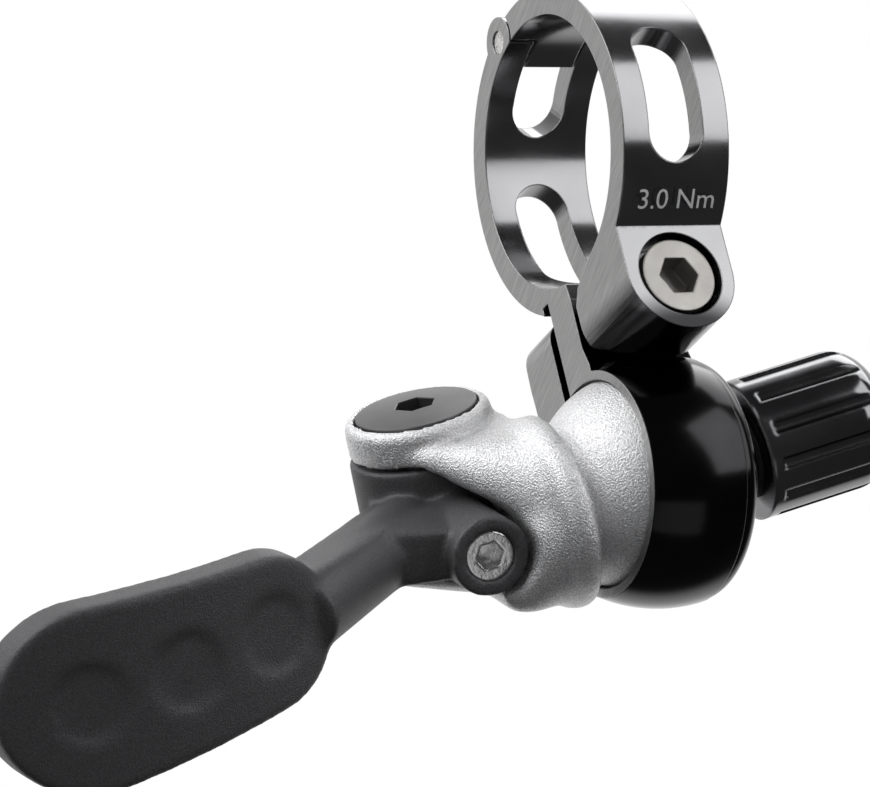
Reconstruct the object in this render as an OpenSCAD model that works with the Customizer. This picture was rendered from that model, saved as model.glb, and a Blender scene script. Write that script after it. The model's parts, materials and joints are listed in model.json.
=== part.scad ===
// Thumb lever that works a height-adjustable seatpost through a cable.
// The origin is the centre of the handlebar clamp, +X runs along the handlebar, +Z is up
// and -Y faces the rider.

/* [Handlebar clamp] */
// Diameter of the handlebar
bar_d = 22.2; // [21.8:0.1:22.6]
// Width of the clamp along the handlebar
clamp_w = 9.4; // [9:0.1:10.4]
// Wall of the clamp ring
ring_wall = 2.2; // [2:0.1:2.5]
// Width of the slots that lighten the ring
slot_w = 4.8; // [4.4:0.1:5.2]
// Angles where the slot in the front half starts and ends, from +Y towards +Z
front_slot = [130, 185]; // [100:1:190]
// Angles where the lower slot in the rear half starts and ends
rear_slot = [284, 345]; // [280:1:350]
// Angle where the hinge slot in the rear half ends
hinge_slot_end = 6; // [4:1:12]
// Angle where the front half ends at its bolt ear
front_end_angle = 218; // [214:1:220]
// Angle where the rear half ends at its leg
rear_end_angle = 253; // [250:1:256]

/* [Clamp hinge] */
// Diameter of the hinge pin
pin_d = 1.9; // [1.6:0.1:2]
// Distance from the handlebar's surface to the pin's centre
pin_offset = 1.4; // [1.35:0.05:1.6]
// Angle of the pin round the ring
pin_angle = 45.6; // [43:0.2:48]
// Radius of the knuckles round the pin
knuckle_r = 2.1; // [2:0.1:2.4]
// Gap between the tongue and the cheeks of the hinge, on each side
hinge_side_gap = 0.2; // [0.1:0.05:0.3]

/* [Clamp bolt] */
// Diameter of the clamp bolt's thread
bolt_d = 4; // [3.6:0.1:4.2]
// Length of the clamp bolt under its head
bolt_length = 16; // [15:0.5:17]
// Diameter of the clamp bolt's head
bolt_head_d = 6.2; // [5.8:0.1:6.6]
// Height of the clamp bolt's head
bolt_head_h = 3; // [2.4:0.1:3.4]
// Width across the flats of the clamp bolt's key hole
bolt_key = 3; // [2.5:0.1:3.2]
// Slope of the clamp bolt below the horizontal
bolt_slope = 28.5; // [27.5:0.25:29.5]
// Place of the top of the bolt's head, along Y and Z
bolt_place = [-13.73, -9.56]; // [-16:0.01:-8]
// Depth of the bolt's head below the face of its ear
bolt_sink = 0.3; // [0.1:0.1:0.6]
// Length of the bolt ear along the bolt
ear_length = 9; // [8.6:0.1:9.1]
// Thickness of the leg behind the ear
leg_t = 3.7; // [3.4:0.1:3.9]
// Gap between the ear and the leg
ear_gap = 0.65; // [0.4:0.05:0.7]
// Width of the slit that the bolt closes
slit_w = 1.05; // [0.8:0.05:1.2]
// Length of the threaded block behind the slit
block_length = 5; // [4.6:0.1:5.6]

/* [Ball socket] */
// Diameter of the ball
ball_d = 18; // [17.8:0.1:18.1]
// Greatest thickness of the socket's wall
socket_wall = 1.12; // [1:0.02:1.3]
// Wall between the ball and the clamp bolt
bolt_wall = 1.586; // [1.4:0.002:2]
// Distance from the slit back to the socket's centre, along the bolt
socket_back = 1.358; // [0.8:0.002:2]
// Radius of the curve along the socket's outside
socket_crown = 12.8; // [11:0.2:16]
// Place of the widest point along the handlebar
socket_crown_x = 0.5; // [0:0.1:1]
// Rounding of the socket's far edge
socket_round = 1.6; // [1:0.1:2]

/* [Ball housing] */
// Turn of the ball housing in its socket, about X, Y and Z
housing_tilt = [9, -15, -6]; // [-18:0.5:12]
// Place of the ball's centre along the handlebar
ball_x = -0.65; // [-0.9:0.05:-0.4]
// Radius of the collar between the ball and the neck
collar_r = 7.95; // [7.8:0.05:8.1]
// Width of the collar
collar_w = 2.6; // [2.2:0.1:2.8]
// Distance from the ball's centre to the collar
collar_x = 7.3; // [7.3:0.1:7.6]
// Radius of the neck beside the collar
neck_r = 7.1; // [6.6:0.1:7.4]
// Place of the lever's pivot, along the cable and across it
pivot_place = [-14.6, 9.1]; // [-16:0.1:10]
// Radius of the two ears round the pivot
ear_r = 5.95; // [5.9:0.05:6.2]
// Thickness of the upper ear
top_ear_t = 3; // [2.8:0.1:3.4]
// Thickness of the lower ear
low_ear_t = 1.9; // [1.7:0.1:2.4]
// Rounding of the upper ear's rim
ear_round = 0.9; // [0.5:0.1:0.9]
// Rounding of the collar's edge towards the neck
collar_round = 1.5; // [1:0.1:2]
// Radius of the toe under the cable anchor
toe_r = 2.2; // [2:0.1:2.6]
// Slope of the window's upper edge, down towards the ball
window_slope = 37; // [34:1:40]

/* [Lever pivot] */
// Diameter of the pivot bolt's shaft
shaft_d = 5; // [4.9:0.1:5]
// Diameter of the pivot bolt's flat head
cap_d = 9.9; // [9.6:0.1:10]
// Height of the pivot bolt's head
cap_h = 1.6; // [1.4:0.1:1.8]
// Rise of the slightly domed head's middle
cap_dome = 0.4; // [0.2:0.05:0.5]
// Width across the flats of the pivot bolt's key hole
cap_key = 3; // [2.5:0.1:4]
// Outer diameter of a lever bearing
bearing_d = 10; // [9.8:0.1:10.2]
// Width of a lever bearing
bearing_w = 3; // [2.8:0.1:3.2]
// Diameter of a bearing ball
bearing_ball_d = 1.4; // [1.3:0.1:1.5]
// Number of balls in each bearing
bearing_balls = 10; // [7:1:11]
// Thickness of the shims outside the bearings
shim_t = 0.4; // [0.35:0.05:0.5]
// Length of the sleeve between the bearings
sleeve_l = 1.5; // [1.2:0.1:1.8]

/* [Lever] */
// Outer radius of the lever's hub
hub_r = 6.1; // [5.9:0.1:6.1]
// Place of the cable anchor, along the cable and across it in height
anchor_place = [-15.5, -0.3]; // [-17:0.1:1]
// Radius of the boss round the cable anchor
anchor_boss_r = 3.2; // [3:0.1:3.3]
// Distance of the anchor boss's face in front of the cable
anchor_reach = 4.7; // [4.2:0.1:5]
// Gap round the anchor boss in the housing
boss_gap = 0.5; // [0.35:0.05:0.6]
// Diameter of the cable anchor screw
anchor_d = 4; // [3.6:0.1:4.2]
// Length of the cable anchor screw
anchor_l = 4; // [3.4:0.1:4]
// Diameter of the inner cable's hole
wire_d = 1.9; // [1.6:0.1:2.2]
// Radius of the arm's round lower part
arm_r = 3; // [2.6:0.1:3.2]
// Height of the arm's rib above the middle of the round part
rib_rise = 3.4; // [3.2:0.1:3.8]
// Thickness of the rib
rib_t = 0.8; // [0.6:0.1:1.2]
// Half width of the rib
rib_half_w = 1.9; // [1.6:0.1:2.4]
// Drop of the rib towards the hub
rib_drop = 1.2; // [0:0.1:2]
// Length of the thumb paddle
paddle_l = 28; // [24:0.5:30]
// Height of the paddle's free end
paddle_end_h = 14.6; // [12:0.2:15]
// Height of the paddle's end at the arm
paddle_root_h = 12.2; // [10:0.2:13]
// Thickness of the paddle
paddle_t = 3.4; // [2.8:0.1:4]
// Radius of the paddle's curve towards the thumb
paddle_curve = 38; // [30:1:60]
// Turn of the paddle towards the rider
paddle_turn = 8; // [4:1:12]
// Centre of the paddle's end at the arm
paddle_place = [-36.3, -10.8, 1.7]; // [-40:0.1:4]
// Diameter of the shallow grip dimples
dimple_d = 6; // [4:0.2:7]
// Depth of the grip dimples
dimple_depth = 0.3; // [0.2:0.05:0.5]

/* [Barrel adjuster] */
// Outer radius of the barrel's knob
knob_r = 5.75; // [5.6:0.05:6]
// Length of the barrel's knob
knob_l = 11.8; // [11:0.2:13]
// Distance from the ball's centre to the knob
knob_x = 8.7; // [8.6:0.1:9]
// Number of grooves round the knob
knob_grooves = 12; // [9:1:13]
// Radius of a knob groove
groove_r = 0.55; // [0.4:0.05:0.7]
// Diameter of the barrel's thread
barrel_thread_d = 6; // [5.6:0.1:6.4]
// Length of the barrel's thread
barrel_thread_l = 7; // [6:0.5:8]
// Width of the friction ring's section, across the thread
o_ring_w = 0.87; // [0.6:0.01:0.9]
// Thickness of the friction ring under the knob
o_ring_t = 0.42; // [0.3:0.01:0.45]
// Diameter of the hole for the cable's outer casing
casing_d = 5.1; // [4.9:0.1:5.4]
// Depth of the hole for the cable's outer casing
casing_depth = 8; // [6:0.5:9]

/* [Hidden] */
$fn = 64;
// $fn of what a hull joins
hull_fn = 32;
// Length that carries a cut past a surface
past = 0.5;
// Radial play of a bore round its pin or thread
fit = 0.03;
// Overlap of two cuts that would otherwise only touch along a line
lap = 0.02;
// Gap between two pieces that pass each other
clear = 0.3;

ring_in = bar_d / 2;
ring_out = ring_in + ring_wall;
pin_reach = ring_in + pin_offset;
pin_at = [pin_reach * cos(pin_angle), pin_reach * sin(pin_angle)];
tongue_w = slot_w - 2 * hinge_side_gap;

// Places along the bolt, from the top of its head
ear_face = -bolt_sink;
ear_back = ear_face + ear_length;
leg_front = ear_back + ear_gap;
leg_back = leg_front + leg_t;
block_front = leg_back + slit_w;
block_back = block_front + block_length;
// The ear's hole lets the cap swing on its hinge while the bolt stays straight
ear_hole_r = bolt_d / 2 + 0.4;
ear_sink_r = bolt_head_d / 2 + 0.5;

ball_r = ball_d / 2;
// Radius of the socket's mouth at its chamfer
mouth_r = ball_r - 0.4;
socket_r = ball_r + socket_wall;
socket_place = along(leg_back - socket_back, -ball_r - bolt_d / 2 - bolt_wall);
ball_at = [ball_x, socket_place[0], socket_place[1]];

// Heights along the lever's pivot, from the cable's line
stack_low = -2.7;
low_bearing_z = stack_low + shim_t;
sleeve_z = low_bearing_z + bearing_w;
top_bearing_z = sleeve_z + sleeve_l;
stack_top = top_bearing_z + bearing_w + shim_t;
ear_top = stack_top + top_ear_t;
ear_bottom = stack_low - low_ear_t;
hub_low = stack_low + clear;
hub_top = stack_top - clear;
hub_room_r = hub_r + 0.35;
// Reach of the window's cut past the pivot
window_reach = 5 * hub_r;

// Ring and race sizes of the two lever bearings
race_mid_r = (shaft_d + bearing_d) / 4;
race_gap = bearing_ball_d * 0.34;
inner_race_r = race_mid_r - race_gap;
outer_race_r = race_mid_r + race_gap;
seal_t = 0.3;
seal_edge = 0.12;

// Flat end of the ball, which the friction ring keeps off the knob
ball_flat_x = knob_x - o_ring_t - 0.08;
knob_end_round = 3.2;

function along(t, n) = [bolt_place[0] + t * cos(bolt_slope) + n * sin(bolt_slope),
                        bolt_place[1] - t * sin(bolt_slope) + n * cos(bolt_slope)];
function round_pt(r, a) = [r * cos(a), r * sin(a)];
function arc(c, r, a0, a1, n = 16) = [for (i = [0:n]) c + round_pt(r, a0 + (a1 - a0) * i / n)];

// Extrudes an outline drawn in Y and Z across the clamp's width
module across(w) {
    rotate([90, 0, 90]) translate([0, 0, -w / 2]) linear_extrude(height = w) children();
}

// Puts +Z along the clamp bolt, from its head inwards, with +Y away from the handlebar
module at_bolt() {
    translate([0, bolt_place[0], bolt_place[1]]) rotate([-90 - bolt_slope, 0, 0]) children();
}

// Puts +X along the cable, away from the lever, and +Z along the lever's pivot
module in_housing() {
    translate(ball_at) rotate(housing_tilt) children();
}

// Puts +Z along the lever's pivot, at the height of the cable
module at_pivot() {
    in_housing() translate([pivot_place[0], pivot_place[1], 0]) children();
}

module tube(r_out, r_in, h) {
    difference() {
        cylinder(r = r_out, h = h);
        translate([0, 0, -past]) cylinder(r = r_in, h = h + 2 * past);
    }
}

// Part of the ring's outline between two angles
module ring_part(a0, a1) {
    difference() {
        intersection() {
            circle(r = ring_out);
            polygon(concat([[0, 0]], arc([0, 0], 2 * ring_out, a0, a1, 8)));
        }
        circle(r = ring_in);
    }
}

// Round-ended slot through the ring's wall between two angles
module ring_slot(a0, a1, outer) {
    end = (slot_w / 2) / ring_in * 180 / PI;
    inner = ring_in - past;
    across(slot_w) polygon(concat(arc([0, 0], inner, a0 + end, a1 - end, 12),
                                  arc([0, 0], outer, a1 - end, a0 + end, 12)));
    for (a = [a0 + end, a1 - end]) rotate([a, 0, 0]) translate([0, inner, 0]) rotate([-90, 0, 0])
        cylinder(d = slot_w + lap, h = outer - inner);
}

// Outline of the round-ended ear, seen along the bolt
module ear_outline(w) {
    circle(d = w);
    translate([-w / 2, -3 * w]) square([w, 3 * w]);
}

module clamp_cap() {
    color("dimgray") difference() {
        union() {
            difference() {
                across(clamp_w) ring_part(pin_angle, front_end_angle);
                across(clamp_w + 1) translate(pin_at) circle(r = knuckle_r + clear);
            }
            across(tongue_w) difference() {
                union() {
                    ring_part(pin_angle, pin_angle + 16);
                    translate(pin_at) circle(r = knuckle_r - 0.1);
                }
                circle(r = ring_in);
            }
            intersection() {
                across(clamp_w) polygon([along(ear_face, 4.6), along(ear_face, -clamp_w / 2),
                    along(ear_back, -clamp_w / 2), along(ear_back, 1.6), along(ear_back - 0.9, 2.8),
                    along(3, 5), along(2, 8), along(1, 8)]);
                at_bolt() translate([0, 0, ear_face]) linear_extrude(height = ear_length)
                    ear_outline(clamp_w);
            }
        }
        across(clamp_w + 1) circle(r = ring_in);
        across(clamp_w + 1) translate(socket_place) circle(r = socket_r + clear);
        ring_slot(front_slot[0], front_slot[1], ring_out + past);
        translate([0, pin_at[0], pin_at[1]]) rotate([0, 90, 0])
            cylinder(d = pin_d + 2 * fit, h = clamp_w + 1, center = true);
        at_bolt() translate([0, 0, ear_face - past]) cylinder(r = ear_hole_r, h = ear_length + 2 * past);
        at_bolt() translate([0, 0, ear_face - 4]) cylinder(r = ear_sink_r, h = 4 + bolt_sink + bolt_head_h);
    }
}

// Outline of the ball socket's wall, turned round its axis
module socket_section() {
    half = clamp_w / 2;
    intersection() {
        difference() {
            translate([socket_r - socket_crown, socket_crown_x]) circle(r = socket_crown);
            translate([0, half]) square([ring_out, ring_out]);
        }
        union() {
            translate([0, -half]) square([2 * socket_r, 2 * half - socket_round]);
            square([socket_r - socket_round - 0.4, half]);
            translate([socket_r - socket_round - 0.4, half - socket_round]) circle(r = socket_round);
        }
    }
}

// Rear half of the ring with the two outer knuckles of the hinge
module rear_half() {
    difference() {
        across(clamp_w) union() {
            ring_part(rear_end_angle - 360, pin_angle);
            translate(pin_at) circle(r = knuckle_r);
        }
        ring_slot(rear_slot[0], rear_slot[1], ring_out + past);
        ring_slot(hinge_slot_end, pin_angle + 30, ring_out + knuckle_r);
    }
}

module clamp_body() {
    half = clamp_w / 2;
    color("dimgray") difference() {
        union() {
            rear_half();
            leg();
            block();
            translate([0, socket_place[0], socket_place[1]]) rotate([0, 90, 0])
                rotate_extrude() socket_section();
        }
        across(clamp_w + 1) circle(r = ring_in);
        translate([0, pin_at[0], pin_at[1]]) rotate([0, 90, 0])
            cylinder(d = pin_d + 2 * fit, h = clamp_w + 1, center = true);
        translate(ball_at) sphere(r = ball_r + fit);
        // Chamfer of the socket's mouth, on the lever's side
        translate([-half - past, socket_place[0], socket_place[1]]) rotate([0, 90, 0])
            cylinder(r1 = mouth_r, r2 = mouth_r - 1.2, h = past + 1.5);
        // Slit down into the socket, and the bolt's holes on its two sides
        at_bolt() translate([-clamp_w, -4, leg_back - lap / 2]) cube([2 * clamp_w, 10, slit_w + lap]);
        at_bolt() translate([0, 0, leg_front - 3]) cylinder(d = bolt_d + 0.5, h = leg_t + 3 + slit_w / 3);
        at_bolt() translate([0, 0, block_front - slit_w / 3])
            cylinder(d = bolt_d + 2 * fit, h = block_length + slit_w);
    }
}

// Leg from the ring's rear half down to the socket
module leg() {
    across(clamp_w) polygon([along(leg_front + 0.3, 4.4), along(leg_front, 2.6),
        along(leg_front, -1.8), along(leg_front - 0.3, -2.75), along(leg_front - 0.5, -3.4),
        along(leg_front - 0.5, -4.6), along(leg_back, -4.6), along(leg_back, 1.4),
        along(leg_back + 0.5, 2.8), along(leg_back + 1.6, 3.9), along(leg_back + 1.5, 5.2)]);
}

// Threaded block on the far side of the slit
module block() {
    top = 3.1;
    edge = 2.2;
    half = clamp_w / 2;
    intersection() {
        across(clamp_w) polygon([along(block_front, top), along(block_back - 0.2, top),
            along(block_back, -1), along(block_back - 0.1, -2.4), along(block_back - 0.4, -12),
            along(block_front - 1, -12), along(block_front - 1, -4)]);
        at_bolt() linear_extrude(height = block_back + 1) union() {
            translate([-half, edge - top]) square([clamp_w, 2 * ball_d]);
            for (s = [-1, 1]) translate([s * (half - edge), edge - top]) circle(r = edge);
            translate([edge - half, -top]) square([clamp_w - 2 * edge, 2 * ball_d]);
        }
    }
}

module hinge_pin() {
    color("silver") translate([0, pin_at[0], pin_at[1]]) rotate([0, 90, 0])
        cylinder(d = pin_d, h = clamp_w - 0.2, center = true);
}

module clamp_bolt() {
    color("gainsboro") at_bolt() difference() {
        union() {
            cylinder(d = bolt_head_d, h = bolt_head_h);
            cylinder(d = bolt_d, h = bolt_head_h + bolt_length);
        }
        translate([0, 0, -past]) cylinder(d = bolt_key / cos(30), h = 2.2 + past, $fn = 6);
    }
}

// Disc with a rounded upper edge, turned round +Z
module rounded_disc(r, h, edge) {
    rotate_extrude() {
        square([r, h - edge]);
        square([r - edge, h]);
        intersection() {
            translate([r - edge, h - edge]) circle(r = edge);
            translate([0, h - edge]) square([r, edge]);
        }
    }
}

module ball_housing() {
    toe_place = [anchor_place[0] + 2.8, anchor_place[1] - 3.8];
    color("silver") in_housing() difference() {
        union() {
            sphere(r = ball_r);
            translate([-collar_x, 0, 0]) rotate([0, -90, 0]) rounded_disc(collar_r, collar_w, collar_round);
            hull() {
                translate([-collar_x - 1.8, 0, 0]) rotate([0, 90, 0])
                    cylinder(r = neck_r, h = 1.2, $fn = hull_fn);
                translate([pivot_place[0], pivot_place[1], ear_bottom])
                    cylinder(r = ear_r - 0.3, h = ear_top - 1.5 - ear_bottom, $fn = hull_fn);
            }
            hull() {
                translate([-collar_x - 1.6, 0, 0]) rotate([0, 90, 0])
                    cylinder(r = neck_r, h = 1, $fn = hull_fn);
                translate([toe_place[0], 3, toe_place[1]]) rotate([90, 0, 0])
                    cylinder(r = toe_r, h = 6.8, $fn = hull_fn);
            }
            translate([pivot_place[0], pivot_place[1], ear_bottom]) {
                cylinder(r = ear_r, h = low_ear_t);
                translate([0, 0, ear_top - ear_bottom - top_ear_t]) rounded_disc(ear_r, top_ear_t, ear_round);
            }
        }
        // Flat end of the ball under the knob
        translate([ball_flat_x, -ball_r, -ball_r]) cube([ball_r, ball_d, ball_d]);
        // Room for the lever's hub
        translate([pivot_place[0], pivot_place[1], stack_low])
            cylinder(r = hub_room_r, h = stack_top - stack_low);
        lever_window();
        // Bore and sunk seat of the pivot bolt
        translate([pivot_place[0], pivot_place[1], ear_bottom - past])
            cylinder(d = shaft_d + 2 * fit, h = ear_top - ear_bottom + 2 * past);
        translate([pivot_place[0], pivot_place[1], ear_top - cap_h])
            cylinder(d = cap_d + 0.3, h = cap_h + past);
        // Bores for the inner cable and the barrel's thread
        translate([-ball_d, 0, 0]) rotate([0, 90, 0]) cylinder(d = wire_d + 0.6, h = 2 * ball_d);
        translate([knob_x - barrel_thread_l - 1, 0, 0]) rotate([0, 90, 0])
            cylinder(d = barrel_thread_d + 2 * fit, h = ball_d);
    }
}

// Window in the housing's side where the arm and the cable anchor swing
module lever_window() {
    r = anchor_boss_r + boss_gap;
    c = anchor_place;
    a = window_slope;
    tangent = c + [r * sin(a), r * cos(a)];
    rise = (stack_top - tangent[1]) / tan(a);
    side = pivot_place[0] - window_reach;
    translate([0, pivot_place[1], 0]) rotate([90, 0, 0]) linear_extrude(height = window_reach) union() {
        translate(c) circle(r = r);
        polygon([[side, stack_low], [side, stack_top], [tangent[0] - rise, stack_top], tangent,
                 c, [c[0], stack_low]]);
    }
    translate([side, pivot_place[1], stack_low])
        cube([window_reach, window_reach, stack_top - stack_low]);
}

module pivot_bolt() {
    dome_r = (pow(cap_d / 2, 2) + pow(cap_dome, 2)) / (2 * cap_dome);
    color("dimgray") at_pivot() difference() {
        union() {
            intersection() {
                translate([0, 0, ear_top - cap_h]) cylinder(d = cap_d, h = cap_h + cap_dome);
                translate([0, 0, ear_top + cap_dome - dome_r]) sphere(r = dome_r);
            }
            translate([0, 0, ear_bottom]) cylinder(d = shaft_d, h = ear_top - ear_bottom - past);
        }
        translate([0, 0, ear_top - 2.5]) cylinder(d = cap_key / cos(30), h = 3 + past, $fn = 6);
    }
}

module inner_race(z) {
    color("lightsteelblue") at_pivot() translate([0, 0, z]) difference() {
        tube(inner_race_r, shaft_d / 2 + fit, bearing_w);
        ball_groove();
    }
}

module outer_race(z) {
    color("lightsteelblue") at_pivot() translate([0, 0, z]) difference() {
        tube(bearing_d / 2, outer_race_r, bearing_w);
        ball_groove();
    }
}

module ball_groove() {
    translate([0, 0, bearing_w / 2]) rotate_extrude()
        translate([race_mid_r, 0]) circle(d = bearing_ball_d + 0.08);
}

module race_balls(z) {
    color("white") at_pivot() translate([0, 0, z + bearing_w / 2])
        for (i = [0:bearing_balls - 1]) rotate([0, 0, i * 360 / bearing_balls])
            translate([race_mid_r, 0, 0]) sphere(d = bearing_ball_d, $fn = 24);
}

// Crown of thin material that keeps the balls apart
module ball_cage(z) {
    wall = race_gap - 0.15;
    color("goldenrod") at_pivot() translate([0, 0, z + bearing_w / 2 - 0.25]) difference() {
        tube(race_mid_r + wall, race_mid_r - wall, 1.25);
        for (i = [0:bearing_balls - 1]) rotate([0, 0, i * 360 / bearing_balls])
            translate([race_mid_r, 0, 0.25]) sphere(d = bearing_ball_d + 0.1, $fn = 24);
    }
}

module race_seals(z) {
    color("black") at_pivot() for (s = [z + 0.1, z + bearing_w - 0.1 - seal_t])
        translate([0, 0, s]) tube(outer_race_r - fit, inner_race_r + seal_edge, seal_t);
}

module shim(z) {
    color("khaki") at_pivot() translate([0, 0, z]) tube(inner_race_r, shaft_d / 2 + fit, shim_t);
}

module bearing_sleeve() {
    color("silver") at_pivot() translate([0, 0, sleeve_z]) tube(inner_race_r, shaft_d / 2 + fit, sleeve_l);
}

module upper_shim() {
    shim(stack_top - shim_t);
}

module upper_bearing_inner_race() {
    inner_race(top_bearing_z);
}

module upper_bearing_balls() {
    race_balls(top_bearing_z);
}

module upper_bearing_cage() {
    ball_cage(top_bearing_z);
}

module upper_bearing_outer_race() {
    outer_race(top_bearing_z);
}

module upper_bearing_seals() {
    race_seals(top_bearing_z);
}

module lower_bearing_inner_race() {
    inner_race(low_bearing_z);
}

module lower_bearing_balls() {
    race_balls(low_bearing_z);
}

module lower_bearing_cage() {
    ball_cage(low_bearing_z);
}

module lower_bearing_outer_race() {
    outer_race(low_bearing_z);
}

module lower_bearing_seals() {
    race_seals(low_bearing_z);
}

module lower_shim() {
    shim(stack_low);
}

// Puts the paddle's middle plane at its end next to the arm, with +Z up and -X along the paddle
module at_paddle() {
    in_housing() translate(paddle_place) rotate([0, 0, paddle_turn]) children();
}

module paddle() {
    end_r = paddle_end_h / 2;
    root_r = paddle_root_h / 2;
    span = paddle_l - end_r - root_r;
    middle = -span / 2;
    face_r = paddle_curve + paddle_t / 2;
    step = dimple_d * 1.25 / paddle_curve * 180 / PI;
    at_paddle() difference() {
        intersection() {
            translate([middle, paddle_curve, -paddle_end_h])
                tube(face_r, paddle_curve - paddle_t / 2, 2 * paddle_end_h);
            rotate([90, 0, 0]) linear_extrude(height = paddle_l, center = true) hull() {
                circle(r = root_r, $fn = hull_fn);
                translate([-span, 0]) circle(r = end_r, $fn = hull_fn);
            }
        }
        // Row of shallow dimples round the face's curve
        for (i = [-1:1]) translate([middle, paddle_curve, 0]) rotate([0, 0, i * step])
            translate([0, dimple_depth - face_r, 0]) rotate([90, 0, 0]) cylinder(d = dimple_d, h = 4);
    }
}

// Round bar between two places
module bar(p, q, r) {
    d = q - p;
    translate(p) rotate([0, acos(d[2] / norm(d)), atan2(d[1], d[0])]) cylinder(r = r, h = norm(d));
}

// Arm with a round lower part, a rib along its top, and the web between it and the anchor's boss
module arm() {
    root = [pivot_place[0] - 3.7, pivot_place[1] - 4, anchor_place[1] + 0.7];
    end = [paddle_place[0] + 3.5, paddle_place[1] + 1.9, paddle_place[2] - 0.4];
    rib_side = [-0.3, 0.3, rib_rise - rib_t];
    web = [anchor_place[0] - 2, 2.2];
    bar(root, end, arm_r);
    hull() {
        translate(root + rib_side - [0, 0, rib_drop])
            cylinder(r = rib_half_w + 0.8, h = rib_t, $fn = hull_fn);
        translate(end + rib_side) cylinder(r = rib_half_w, h = rib_t, $fn = hull_fn);
    }
    hull() {
        translate([web[0], web[1], anchor_place[1] - 1.7]) cylinder(r = 2, h = 4.6, $fn = hull_fn);
        translate([web[0] - 0.3, web[1] - 3.1, anchor_place[1] - 1.5])
            cylinder(r = 2, h = 3.8, $fn = hull_fn);
        translate([web[0] - 6.5, web[1] - 2.6, anchor_place[1] - 0.8])
            cylinder(r = 1.6, h = 4.4, $fn = hull_fn);
    }
}

module lever() {
    // Inner end of the boss, in the hub's wall
    boss_root = pivot_place[1] - hub_r + 1.8;
    color("darkslategray") {
        difference() {
            union() {
                at_pivot() translate([0, 0, hub_low]) cylinder(r = hub_r, h = hub_top - hub_low);
                in_housing() {
                    translate([anchor_place[0], boss_root, anchor_place[1]]) rotate([90, 0, 0])
                        cylinder(r = anchor_boss_r, h = boss_root + anchor_reach);
                    arm();
                }
                paddle();
            }
            at_pivot() {
                translate([0, 0, hub_low - past])
                    cylinder(r = bearing_d / 2 - 0.7, h = hub_top - hub_low + 2 * past);
                translate([0, 0, hub_low - past])
                    cylinder(r = bearing_d / 2 + fit, h = sleeve_z - hub_low + past);
                // Room for the housing's lower ear under the hub
                translate([0, 0, hub_low - 2 * anchor_boss_r])
                    cylinder(r = ear_r + clear, h = 2 * anchor_boss_r);
                translate([0, 0, top_bearing_z])
                    cylinder(r = bearing_d / 2 + fit, h = hub_top - top_bearing_z + past);
            }
            in_housing() {
                translate([anchor_place[0], 3, anchor_place[1]]) rotate([90, 0, 0])
                    cylinder(d = anchor_d + 2 * fit, h = 3 + anchor_reach + past);
                translate([anchor_place[0] - 2 * anchor_boss_r, 0, 0]) rotate([0, 90, 0])
                    cylinder(d = wire_d, h = 4 * anchor_boss_r);
            }
        }
    }
}

module cable_anchor_screw() {
    color("silver") in_housing() translate([anchor_place[0], -anchor_reach + 0.3, anchor_place[1]])
        rotate([-90, 0, 0]) difference() {
            cylinder(d = anchor_d, h = anchor_l - 0.6);
            translate([0, 0, -past]) cylinder(d = 2 / cos(30), h = 1.8 + past, $fn = 6);
        }
}

// Outline of the barrel adjuster's knob, turned round the cable
module knob_section() {
    flat = knob_l - knob_end_round;
    square([knob_r, flat]);
    intersection() {
        translate([0, flat]) square([knob_r, knob_end_round]);
        translate([knob_r - knob_end_round, flat]) circle(r = knob_end_round);
    }
    translate([0, flat]) square([knob_r - knob_end_round, knob_end_round]);
}

module barrel_adjuster() {
    color("dimgray") in_housing() rotate([0, 90, 0]) difference() {
        union() {
            translate([0, 0, knob_x]) rotate_extrude() knob_section();
            translate([0, 0, knob_x - barrel_thread_l]) cylinder(d = barrel_thread_d, h = barrel_thread_l + 1);
        }
        for (i = [0:knob_grooves - 1]) rotate([0, 0, i * 360 / knob_grooves])
            translate([knob_r + 0.1, 0, knob_x + 1]) cylinder(r = groove_r, h = knob_l, $fn = 16);
        translate([0, 0, knob_x - barrel_thread_l - past])
            cylinder(d = wire_d, h = barrel_thread_l + knob_l + 2 * past);
        translate([0, 0, knob_x + knob_l - casing_depth])
            cylinder(d = casing_d, h = casing_depth + past);
    }
}

module barrel_o_ring() {
    color("black") in_housing() rotate([0, 90, 0]) translate([0, 0, ball_flat_x + fit])
        tube(barrel_thread_d / 2 + fit + o_ring_w, barrel_thread_d / 2 + fit, o_ring_t);
}

clamp_body();
clamp_cap();
hinge_pin();
clamp_bolt();
ball_housing();
pivot_bolt();
upper_shim();
upper_bearing_inner_race();
upper_bearing_balls();
upper_bearing_cage();
upper_bearing_outer_race();
upper_bearing_seals();
bearing_sleeve();
lower_bearing_inner_race();
lower_bearing_balls();
lower_bearing_cage();
lower_bearing_outer_race();
lower_bearing_seals();
lower_shim();
lever();
cable_anchor_screw();
barrel_adjuster();
barrel_o_ring();
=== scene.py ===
import bpy
import json
import math
import numpy as np
from mathutils import Matrix, Vector


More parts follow.
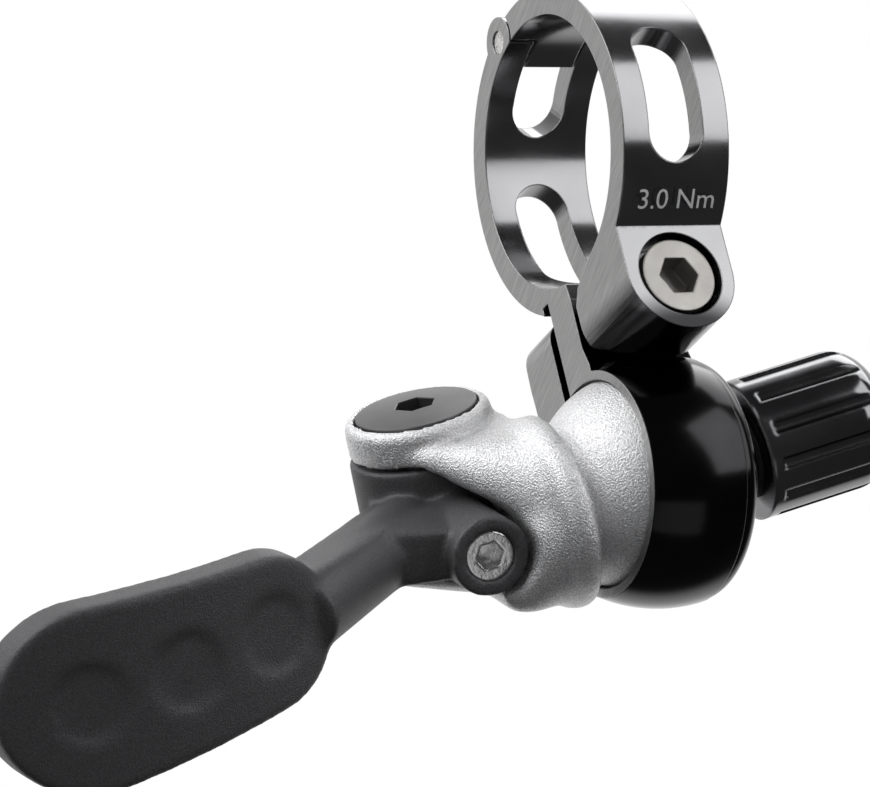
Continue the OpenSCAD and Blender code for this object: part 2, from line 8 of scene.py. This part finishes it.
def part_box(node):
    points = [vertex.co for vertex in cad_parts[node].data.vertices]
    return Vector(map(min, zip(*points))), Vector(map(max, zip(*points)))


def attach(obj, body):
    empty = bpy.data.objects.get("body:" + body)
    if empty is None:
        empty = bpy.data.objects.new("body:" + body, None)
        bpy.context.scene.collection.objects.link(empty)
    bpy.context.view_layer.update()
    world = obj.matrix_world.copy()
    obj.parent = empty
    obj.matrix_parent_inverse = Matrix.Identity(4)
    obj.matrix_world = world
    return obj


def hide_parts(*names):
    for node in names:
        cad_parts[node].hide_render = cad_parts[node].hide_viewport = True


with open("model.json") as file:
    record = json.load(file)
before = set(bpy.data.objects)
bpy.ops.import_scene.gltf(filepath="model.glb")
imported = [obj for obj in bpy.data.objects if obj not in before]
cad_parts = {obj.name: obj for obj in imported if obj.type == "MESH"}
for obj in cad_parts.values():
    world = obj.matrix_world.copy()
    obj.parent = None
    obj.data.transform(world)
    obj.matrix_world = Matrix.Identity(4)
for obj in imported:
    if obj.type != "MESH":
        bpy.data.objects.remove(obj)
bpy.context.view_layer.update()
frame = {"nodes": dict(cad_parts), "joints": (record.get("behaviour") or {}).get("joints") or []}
nodes = frame["nodes"]

# The studio: a white sweep behind the part in a dim room. Softboxes hang high
# on the left, to the front right and at the back right, and two weak fills low
# at the front lift the lever and the anchor screw.
mm = 0.001
scene = bpy.context.scene
scene.view_settings.view_transform = "Standard"
part_centre = Vector((-10, -4, -14)) * mm


def place(thing):
    """Links a new object to the scene and returns it."""
    scene.collection.objects.link(thing)
    return thing


lens = bpy.data.cameras.new("camera")
lens.sensor_width = 36
lens.lens = 173.8
lens.clip_start = 0.01
camera_at = Vector((-159.71, -302.60, 2.82)) * mm
camera_right = Vector((0.9017, -0.4323, 0.0))
camera_up = Vector((0.0284, 0.0593, 0.9978))
camera_back = Vector((-0.4313, -0.8998, 0.0657))
camera = place(bpy.data.objects.new("camera", lens))
aimed = Matrix((camera_right, camera_up, camera_back)).transposed().to_4x4()
camera.matrix_world = Matrix.Translation(camera_at) @ aimed
scene.camera = camera


def toward(azimuth, elevation):
    """Unit vector; azimuth 0 is the rider's side, positive to the right."""
    a, e = math.radians(azimuth), math.radians(elevation)
    return Vector((math.sin(a) * math.cos(e), -math.cos(a) * math.cos(e), math.sin(e)))


def softbox(name, azimuth, elevation, width, height, glow, distance=0.6):
    """A rectangular lamp; glow is how bright its face looks, 1 being white."""
    lamp = bpy.data.lights.new(name, "AREA")
    lamp.shape = "RECTANGLE"
    lamp.size, lamp.size_y = width, height
    lamp.energy = glow * math.pi * width * height
    body = place(bpy.data.objects.new(name, lamp))
    out = toward(azimuth, elevation)
    body.location = part_centre + out * distance
    body.rotation_euler = out.to_track_quat("Z", "Y").to_euler()
    body.visible_camera = False


softbox("softbox_left", azimuth=-100, elevation=42, width=0.80, height=0.62, glow=3.0)
softbox("softbox_front_right", azimuth=46, elevation=31, width=0.42, height=0.50, glow=2.8)
softbox("softbox_back_right", azimuth=122, elevation=44, width=0.56, height=0.30, glow=3.4)
softbox("fill_left", azimuth=-52, elevation=-4, width=0.40, height=0.40, glow=0.5)
softbox("fill_low", azimuth=2, elevation=-28, width=0.36, height=0.30, glow=0.4)


def add(tree, kind, settings=(), **values):
    """A shader node with its settings, and its inputs by name, or by number as i0 or i1."""
    node = tree.nodes.new(kind)
    for key, value in dict(settings).items():
        setattr(node, key, value)
    for key, value in values.items():
        numbered = key[0] == "i" and key[1:].isdigit()
        socket = node.inputs[int(key[1:]) if numbered else key.replace("_", " ")]
        if isinstance(value, bpy.types.NodeSocket):
            tree.links.new(value, socket)
        else:
            socket.default_value = value
    return node


def maths(tree, operation, first, second=0.0):
    """The result of one sum on one or two values."""
    return add(tree, "ShaderNodeMath", {"operation": operation}, i0=first, i1=second).outputs[0]


def eased(tree, value, low, high):
    """0 at low, 1 at high, and smooth between them."""
    return add(tree, "ShaderNodeMapRange", {"interpolation_type": "SMOOTHSTEP"},
               Value=value, From_Min=low, From_Max=high).outputs[0]


# The camera sees white all round, and metal sees it behind the part
sweep_side = (0.43, 0.90, 0.0)
sweep_edge, sweep_full = 0.35, 0.6
world = bpy.data.worlds.new("studio")
scene.world = world
world.use_nodes = True
sky = world.node_tree
sky.nodes.clear()
looking = add(sky, "ShaderNodeTexCoord").outputs["Generated"]
behind = add(sky, "ShaderNodeVectorMath", {"operation": "DOT_PRODUCT"},
             i0=looking, i1=sweep_side).outputs["Value"]
rays = add(sky, "ShaderNodeLightPath").outputs
shiny = maths(sky, "MAXIMUM", rays["Is Glossy Ray"], rays["Is Transmission Ray"])
mirrored = maths(sky, "MULTIPLY", shiny, eased(sky, behind, sweep_edge, sweep_full))
white = maths(sky, "MAXIMUM", rays["Is Camera Ray"], mirrored)
room = add(sky, "ShaderNodeBackground", Color=(0.07, 0.07, 0.072, 1), Strength=1.0)
sweep = add(sky, "ShaderNodeBackground", Color=(1, 1, 1, 1), Strength=1.0)
around = add(sky, "ShaderNodeMixShader", i0=white, i1=room.outputs[0], i2=sweep.outputs[0])
add(sky, "ShaderNodeOutputWorld", Surface=around.outputs[0])

# Pale paper under the part, which takes its shadow and runs out to white
floor_reach, floor_drop = 4.0, 0.10
shadow_reach, white_from = 0.09, 0.24
floor_mesh = bpy.data.meshes.new("floor")
sides = ((-1, -1), (1, -1), (1, 1), (-1, 1))
corners = [(x * floor_reach, y * floor_reach, 0) for x, y in sides]
floor_mesh.from_pydata(corners, [], [(0, 1, 2, 3)])
floor = place(bpy.data.objects.new("floor", floor_mesh))
floor.location = (0, 0, -floor_drop)
floor.visible_glossy = False
floor.visible_diffuse = False
floor_paper = bpy.data.materials.new("floor_paper")
floor_paper.use_nodes = True
tree = floor_paper.node_tree
tree.nodes.clear()
on_floor = add(tree, "ShaderNodeTexCoord").outputs["Object"]
away = add(tree, "ShaderNodeVectorMath", {"operation": "LENGTH"}, i0=on_floor).outputs["Value"]
white_share = maths(tree, "MULTIPLY", eased(tree, away, shadow_reach, white_from),
                    add(tree, "ShaderNodeLightPath").outputs["Is Camera Ray"])
matt = add(tree, "ShaderNodeBsdfDiffuse", Color=(0.86, 0.86, 0.86, 1))
lit = add(tree, "ShaderNodeEmission", Color=(1, 1, 1, 1), Strength=1.0)
paper = add(tree, "ShaderNodeMixShader", i0=white_share, i1=matt.outputs[0], i2=lit.outputs[0])
add(tree, "ShaderNodeOutputMaterial", Surface=paper.outputs[0])
floor_mesh.materials.append(floor_paper)

# The clamp: two halves machined from aluminium bar and anodised glossy black.
# The socket's block carries painted shade: its colour is made far darker so that it shows almost no
# reflection.
# The cut side faces keep the mill's fine slanting marks, and every sharp edge is broken, which the
# shading does here.


def effect(name, inputs, outputs):
    """A new shader node group, the values it is given and the sockets it puts out."""
    group = bpy.data.node_groups.new(name, "ShaderNodeTree")
    for way, labels in (("INPUT", inputs), ("OUTPUT", outputs)):
        for label in labels:
            group.interface.new_socket(label, in_out=way, socket_type="NodeSocketFloat")
    return group, add(group, "NodeGroupInput").outputs, add(group, "NodeGroupOutput").inputs


# Fine even grain, as bead blasting leaves, with a slow drift under it. Scales
# are in grains for each metre.
grain_effect, given, made = effect("blasted_grain", ("Scale", "Drift Scale"), ("Grain", "Drift"))
on_piece = add(grain_effect, "ShaderNodeTexCoord").outputs["Object"]
pits = add(grain_effect, "ShaderNodeTexNoise", Vector=on_piece, Scale=given["Scale"],
           Detail=2.5, Roughness=0.6)
slow = add(grain_effect, "ShaderNodeTexNoise", Vector=on_piece, Scale=given["Drift Scale"],
           Detail=3.0)
grain_effect.links.new(pits.outputs["Fac"], made["Grain"])
grain_effect.links.new(slow.outputs["Fac"], made["Drift"])

# Fine straight marks that a cutter leaves, slanting across a flat face. Across
# and Along are in marks for each metre, and Slant is in radians.
mill_effect, given, made = effect("mill_marks", ("Across", "Along", "Slant"), ("Marks",))
on_piece = add(mill_effect, "ShaderNodeTexCoord").outputs["Object"]
slant = add(mill_effect, "ShaderNodeCombineXYZ", X=given["Slant"]).outputs[0]
slanted = add(mill_effect, "ShaderNodeVectorRotate", {"rotation_type": "EULER_XYZ"},
              Vector=on_piece, Rotation=slant).outputs[0]
pitch = add(mill_effect, "ShaderNodeCombineXYZ",
            X=given["Along"], Y=given["Along"], Z=given["Across"]).outputs[0]
drawn = add(mill_effect, "ShaderNodeVectorMath", {"operation": "MULTIPLY"},
            i0=slanted, i1=pitch).outputs[0]
lines = add(mill_effect, "ShaderNodeTexNoise", Vector=drawn, Scale=1.0, Detail=2.0, Roughness=0.7)
mill_effect.links.new(lines.outputs["Fac"], made["Marks"])


def finish(name, colour, metallic, roughness):
    """A new material, its node tree and its shader."""
    material = bpy.data.materials.new(name)
    material.use_nodes = True
    tree = material.node_tree
    tree.nodes.clear()
    shader = add(tree, "ShaderNodeBsdfPrincipled", Base_Color=(*colour, 1), Metallic=metallic,
                 Roughness=roughness)
    add(tree, "ShaderNodeOutputMaterial", Surface=shader.outputs[0])
    return material, tree, shader


def effect_in(tree, group, **values):
    """The outputs of a group placed in a material, with its own values."""
    placed = tree.nodes.new("ShaderNodeGroup")
    placed.node_tree = group
    for key, value in values.items():
        placed.inputs[key.replace("_", " ")].default_value = value
    return placed.outputs


def spread(tree, value, low, high, at=(0.3, 0.7)):
    """The value's middle range mapped from low to high."""
    return add(tree, "ShaderNodeMapRange", Value=value, From_Min=at[0], From_Max=at[1],
               To_Min=low, To_Max=high).outputs[0]


def mixed(tree, amount, first, second):
    """A colour between two, each a socket or three numbers."""
    a, b = [end if isinstance(end, bpy.types.NodeSocket) else (*end, 1) for end in (first, second)]
    return add(tree, "ShaderNodeMix", {"data_type": "RGBA"}, i0=amount, i6=a, i7=b).outputs[2]


def toned(tree, shader, value, dark, light, at=(0.3, 0.7)):
    """The piece's colour runs from dark to light with a value that varies over it."""
    tone = mixed(tree, spread(tree, value, 0.0, 1.0, at), dark, light)
    tree.links.new(tone, shader.inputs["Base Color"])


def raised(tree, shader, height, depth, strength, under=None):
    """The height as a bump of that depth in metres, on the normal under it."""
    bump = add(tree, "ShaderNodeBump", Height=height, Distance=depth, Strength=strength)
    if under is not None:
        tree.links.new(under, bump.inputs["Normal"])
    tree.links.new(bump.outputs[0], shader.inputs["Normal"])


def broken_edge(tree, radius, samples=6):
    """The normal of a sharp edge broken to that radius."""
    return add(tree, "ShaderNodeBevel", {"samples": samples}, Radius=radius).outputs[0]


def clad(thing, material):
    """The material on the whole of a piece."""
    thing.data.materials.clear()
    thing.data.materials.append(material)


# Painted shade on the block round the socket, told from the ring by its distance from the ball: a much
# darker colour there hides its reflections
micron = 0.001 * mm
joints = {joint["name"]: joint for joint in frame["joints"]}
ball_centre = joints["ball_swivel"]["pos_m"]
painted_shade_near, painted_shade_far = 14.8 * mm, 16.8 * mm
clamp_black, tree, shader = finish("clamp_black", (0.22, 0.22, 0.225), metallic=1.0, roughness=0.15)
grain = effect_in(tree, grain_effect, Scale=2600.0, Drift_Scale=160.0)
mill = effect_in(tree, mill_effect, Across=7000.0, Along=220.0, Slant=0.9)
flat_normal = add(tree, "ShaderNodeNewGeometry").outputs["True Normal"]
facing = add(tree, "ShaderNodeSeparateXYZ", Vector=flat_normal).outputs["X"]
side_face = spread(tree, maths(tree, "ABSOLUTE", facing), 0.0, 1.0, at=(0.90, 0.98))
from_ball = add(tree, "ShaderNodeVectorMath", {"operation": "DISTANCE"},
                i0=add(tree, "ShaderNodeTexCoord").outputs["Object"], i1=ball_centre).outputs["Value"]
drift = spread(tree, grain["Drift"], 0.0, 1.0)
ring_black = mixed(tree, drift, (0.195, 0.195, 0.20), (0.235, 0.235, 0.24))
# Painted shade: the socket's block gets a near-black colour so that it shows almost no reflection
painted_shade_block = mixed(tree, drift, (0.018, 0.018, 0.019), (0.026, 0.026, 0.027))
# The ring's real black anodise, blended into the painted shade on the socket's block
anodised_and_painted_shade = mixed(tree, eased(tree, from_ball, painted_shade_near, painted_shade_far), painted_shade_block, ring_black)
milled = mixed(tree, spread(tree, mill["Marks"], 0.0, 1.0), (0.27, 0.27, 0.27), (0.40, 0.40, 0.395))
tree.links.new(mixed(tree, side_face, anodised_and_painted_shade, milled), shader.inputs["Base Color"])
rough = add(tree, "ShaderNodeMix", i0=side_face, i2=spread(tree, grain["Drift"], 0.13, 0.19), i3=0.30)
tree.links.new(rough.outputs[0], shader.inputs["Roughness"])
fine_grain = add(tree, "ShaderNodeBump", Height=grain["Grain"], Distance=3 * micron, Strength=0.5,
                 Normal=broken_edge(tree, 0.18 * mm)).outputs[0]
cutter_marks = maths(tree, "MULTIPLY", mill["Marks"], side_face)
raised(tree, shader, cutter_marks, 10 * micron, 0.6, fine_grain)
for name in ("clamp_body", "clamp_cap"):
    clad(nodes[name], clamp_black)

# The tightening figure: thin strokes that a laser etched through the cap's
# black finish, so that bare aluminium shows grey. They lie on its outer face,
# below the slot, and a hair proud of it.
etch_radius = 13.78 * mm
etch_middle = math.radians(195.5)
etched_grey, tree, shader = finish("etched_grey", (0.7, 0.7, 0.7), metallic=0.0, roughness=0.6)
grain = effect_in(tree, grain_effect, Scale=9000.0, Drift_Scale=900.0)
toned(tree, shader, grain["Grain"], (0.60, 0.60, 0.60), (0.82, 0.82, 0.82))
words = bpy.data.curves.new("tightening_figure", "FONT")
words.body = "3.0 Nm"
words.size = 2.3 * mm
words.align_x, words.align_y = "CENTER", "CENTER"
words.resolution_u = 4
letters = bpy.data.objects.new("letters", words)
figure_mesh = bpy.data.meshes.new_from_object(letters)
bpy.data.objects.remove(letters)
for vertex in figure_mesh.vertices:
    across, upward = vertex.co.x, vertex.co.y
    angle = etch_middle - upward / etch_radius
    vertex.co = (across, etch_radius * math.cos(angle), etch_radius * math.sin(angle))
figure = place(bpy.data.objects.new("tightening_figure", figure_mesh))
clad(figure, etched_grey)
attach(figure, "cap")

# The hinge pin: ground steel, pushed through the knuckles of both halves of the
# clamp. Its ends are bright and slightly rough.
pin_steel, tree, shader = finish("pin_steel", (0.80, 0.79, 0.77), metallic=1.0, roughness=0.26)
grain = effect_in(tree, grain_effect, Scale=2400.0, Drift_Scale=500.0)
toned(tree, shader, grain["Drift"], (0.62, 0.61, 0.60), (0.86, 0.85, 0.83))
raised(tree, shader, grain["Grain"], 120 * micron, 1.0)
clad(nodes["hinge_pin"], pin_steel)

# The clamp bolt: a turned steel cap screw with a satin grey plating. It passes
# the cap's ear and the leg, and screws into the block behind the slit.
bolt_steel, tree, shader = finish("bolt_steel", (0.36, 0.35, 0.33), metallic=1.0, roughness=0.46)
grain = effect_in(tree, grain_effect, Scale=12000.0, Drift_Scale=400.0)
toned(tree, shader, grain["Drift"], (0.32, 0.31, 0.295), (0.40, 0.39, 0.37))
raised(tree, shader, grain["Grain"], 12 * micron, 0.6, broken_edge(tree, 0.22 * mm))
clad(nodes["clamp_bolt"], bolt_steel)

# The ball housing: die cast aluminium, bead blasted and anodised silver, with
# joins that run softly into each other. The socket grips its ball.
housing_silver, tree, shader = finish("housing_silver", (0.74, 0.74, 0.75), metallic=1.0, roughness=0.46)
grain = effect_in(tree, grain_effect, Scale=6800.0, Drift_Scale=260.0)
toned(tree, shader, grain["Grain"], (0.54, 0.54, 0.55), (0.88, 0.88, 0.89), at=(0.36, 0.64))
raised(tree, shader, grain["Grain"], 110 * micron, 1.0)


def cast_skin(name, label, voxel, rounds, softness):
    """A finer skin over a cast or forged piece, with its joins run together.

    softness takes points in millimetres, and gives the share of the rounds of
    easing that each of them gets."""
    source = nodes[name]
    cover = source.modifiers.new("cover", "REMESH")
    cover.mode = "VOXEL"
    cover.voxel_size = voxel
    graph = bpy.context.evaluated_depsgraph_get()
    mesh = bpy.data.meshes.new_from_object(source.evaluated_get(graph))
    source.modifiers.remove(cover)
    count = len(mesh.vertices)
    points = np.zeros(count * 3)
    mesh.vertices.foreach_get("co", points)
    points = points.reshape(-1, 3)
    ends = np.zeros(len(mesh.edges) * 2, int)
    mesh.edges.foreach_get("vertices", ends)
    one, other = ends.reshape(-1, 2).T
    neighbours = np.bincount(one, minlength=count) + np.bincount(other, minlength=count)
    share = np.clip(softness(points / mm), 0, 1) * rounds
    pull_each_round = 0.6
    for step in range(rounds):
        sums = [np.bincount(one, points[other, k], count) + np.bincount(other, points[one, k], count)
                for k in range(3)]
        pull = np.clip(share - step, 0, 1)[:, None] * pull_each_round
        points += pull * (np.stack(sums, 1) / neighbours[:, None] - points)
    mesh.vertices.foreach_set("co", points.ravel())
    mesh.polygons.foreach_set("use_smooth", np.ones(len(mesh.polygons), bool))
    mesh.update()
    return place(bpy.data.objects.new(label, mesh))


# The housing's own directions, and two places on it in millimetres
along_barrel = np.array(joints["barrel_turn"]["axis"])
up_pivot = -np.array(joints["lever_press"]["axis"])
ball_at = np.array(ball_centre) / mm
pivot_at = np.array(joints["lever_press"]["pos_m"]) / mm


def rise(values, low, high):
    """0 at low, 1 at high, and smooth between them."""
    t = np.clip((values - low) / (high - low), 0, 1)
    return t * t * (3 - 2 * t)


def from_pivot(points):
    """Distance from the pivot's axis, and height along it."""
    out = points - pivot_at
    height = out @ up_pivot
    return np.linalg.norm(out - height[:, None] * up_pivot, axis=1), height


def housing_softness(points):
    """Soft all over, except at the cap screw's seat and, less so, on the ball."""
    radius, height = from_pivot(points)
    seat = (1 - rise(radius, 6.6, 7.6)) * rise(height, 4.5, 5.5)
    ball = rise((points - ball_at) @ along_barrel, -6.5, -3.5)
    return np.clip(1.0 - 0.93 * np.maximum(seat, 0.7 * ball), 0.07, 1)


housing = cast_skin("ball_housing", "housing_casting", 0.26 * mm, 26, housing_softness)
clad(housing, housing_silver)
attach(housing, "housing")
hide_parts("ball_housing")

# The pivot's cap screw: turned aluminium, anodised dark grey and satin. Its
# shallow dome sits in the upper ear, and its shank carries both bearings.
cap_dark, tree, shader = finish("cap_dark", (0.10, 0.10, 0.103), metallic=0.7, roughness=0.34)
grain = effect_in(tree, grain_effect, Scale=9000.0, Drift_Scale=300.0)
toned(tree, shader, grain["Drift"], (0.085, 0.085, 0.088), (0.115, 0.115, 0.118))
raised(tree, shader, grain["Grain"], 15 * micron, 0.6, broken_edge(tree, 0.2 * mm))
clad(nodes["pivot_bolt"], cap_dark)

# The lever: forged aluminium, blasted and anodised black, with a hub that holds
# the bearings, a ribbed arm, and a curved paddle for the thumb.
lever_black, tree, shader = finish("lever_black", (0.075, 0.075, 0.078), metallic=0.5, roughness=0.50)
grain = effect_in(tree, grain_effect, Scale=7600.0, Drift_Scale=150.0)
toned(tree, shader, grain["Grain"], (0.055, 0.055, 0.058), (0.105, 0.105, 0.11))
raised(tree, shader, grain["Grain"], 70 * micron, 0.9)
anchor_low, anchor_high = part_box("cable_anchor_screw")
anchor_at = (np.array(anchor_low) + np.array(anchor_high)) / 2 / mm


def lever_softness(points):
    """Softest on the paddle, and least in the hub's bore and at the anchor's boss."""
    radius, _ = from_pivot(points)
    paddle = 1 - rise((points - ball_at) @ along_barrel, -25.0, -22.0)
    bore = 1 - rise(radius, 5.0, 5.6)
    boss = 1 - rise(np.linalg.norm(points - anchor_at, axis=1), 3.2, 5.0)
    return np.clip(np.maximum(paddle, 0.6 - 0.35 * np.maximum(bore, boss)), 0.25, 1)


lever = cast_skin("lever", "lever_forging", 0.19 * mm, 20, lever_softness)
clad(lever, lever_black)
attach(lever, "lever")
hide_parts("lever")

# The cable's anchor screw: a small steel socket screw, polished and chromed,
# which clamps the inner cable in the lever's boss.
anchor_chrome, tree, shader = finish("anchor_chrome", (0.86, 0.86, 0.86), metallic=1.0, roughness=0.20)
grain = effect_in(tree, grain_effect, Scale=1800.0, Drift_Scale=700.0)
toned(tree, shader, grain["Drift"], (0.78, 0.78, 0.78), (0.92, 0.92, 0.92))
tree.links.new(spread(tree, grain["Drift"], 0.14, 0.26), shader.inputs["Roughness"])
raised(tree, shader, grain["Grain"], 40 * micron, 0.7, broken_edge(tree, 0.35 * mm, samples=8))
clad(nodes["cable_anchor_screw"], anchor_chrome)

# The barrel: turned aluminium with rounded ribs for the fingers, anodised
# glossy black. It screws into the housing against a small rubber friction ring.
barrel_black, tree, shader = finish("barrel_black", (0.16, 0.16, 0.165), metallic=1.0, roughness=0.13)
grain = effect_in(tree, grain_effect, Scale=2600.0, Drift_Scale=220.0)
toned(tree, shader, grain["Drift"], (0.135, 0.135, 0.14), (0.175, 0.175, 0.18))
tree.links.new(spread(tree, grain["Drift"], 0.10, 0.16), shader.inputs["Roughness"])
raised(tree, shader, grain["Grain"], 4 * micron, 0.5, broken_edge(tree, 0.45 * mm, samples=8))
clad(nodes["barrel_adjuster"], barrel_black)


def plain_finish(name, dark, light, metallic, roughness, scale, depth):
    """A small hidden piece's finish: two tones, a grain and its depth in metres."""
    material, tree, shader = finish(name, light, metallic, roughness)
    grain = effect_in(tree, grain_effect, Scale=scale, Drift_Scale=scale / 12)
    toned(tree, shader, grain["Drift"], dark, light)
    raised(tree, shader, grain["Grain"], depth, 0.6)
    return material


seal_rubber = plain_finish("seal_rubber", (0.018, 0.018, 0.018), (0.030, 0.030, 0.030),
                           metallic=0.0, roughness=0.62, scale=5000.0, depth=15 * micron)
clad(nodes["barrel_o_ring"], seal_rubber)

# The bearings and their spacers, which the hub hides: ground steel races and
# balls, moulded nylon cages, rubber seals, steel shims and a turned sleeve,
# stacked on the cap screw's shank.
race_steel = plain_finish("race_steel", (0.58, 0.58, 0.59), (0.68, 0.68, 0.69),
                          metallic=1.0, roughness=0.20, scale=6000.0, depth=4 * micron)
ball_steel = plain_finish("ball_steel", (0.72, 0.72, 0.73), (0.80, 0.80, 0.81),
                          metallic=1.0, roughness=0.08, scale=6000.0, depth=1 * micron)
cage_nylon = plain_finish("cage_nylon", (0.62, 0.58, 0.48), (0.72, 0.68, 0.58),
                          metallic=0.0, roughness=0.50, scale=5000.0, depth=10 * micron)
shim_steel = plain_finish("shim_steel", (0.52, 0.51, 0.50), (0.62, 0.61, 0.60),
                          metallic=1.0, roughness=0.30, scale=7000.0, depth=4 * micron)
sleeve_aluminium = plain_finish("sleeve_aluminium", (0.66, 0.66, 0.67), (0.76, 0.76, 0.77),
                                metallic=1.0, roughness=0.34, scale=6000.0, depth=6 * micron)
for level in ("lower", "upper"):
    clad(nodes[level + "_shim"], shim_steel)
    clad(nodes[level + "_bearing_inner_race"], race_steel)
    clad(nodes[level + "_bearing_outer_race"], race_steel)
    clad(nodes[level + "_bearing_balls"], ball_steel)
    clad(nodes[level + "_bearing_cage"], cage_nylon)
    clad(nodes[level + "_bearing_seals"], seal_rubber)
clad(nodes["bearing_sleeve"], sleeve_aluminium)
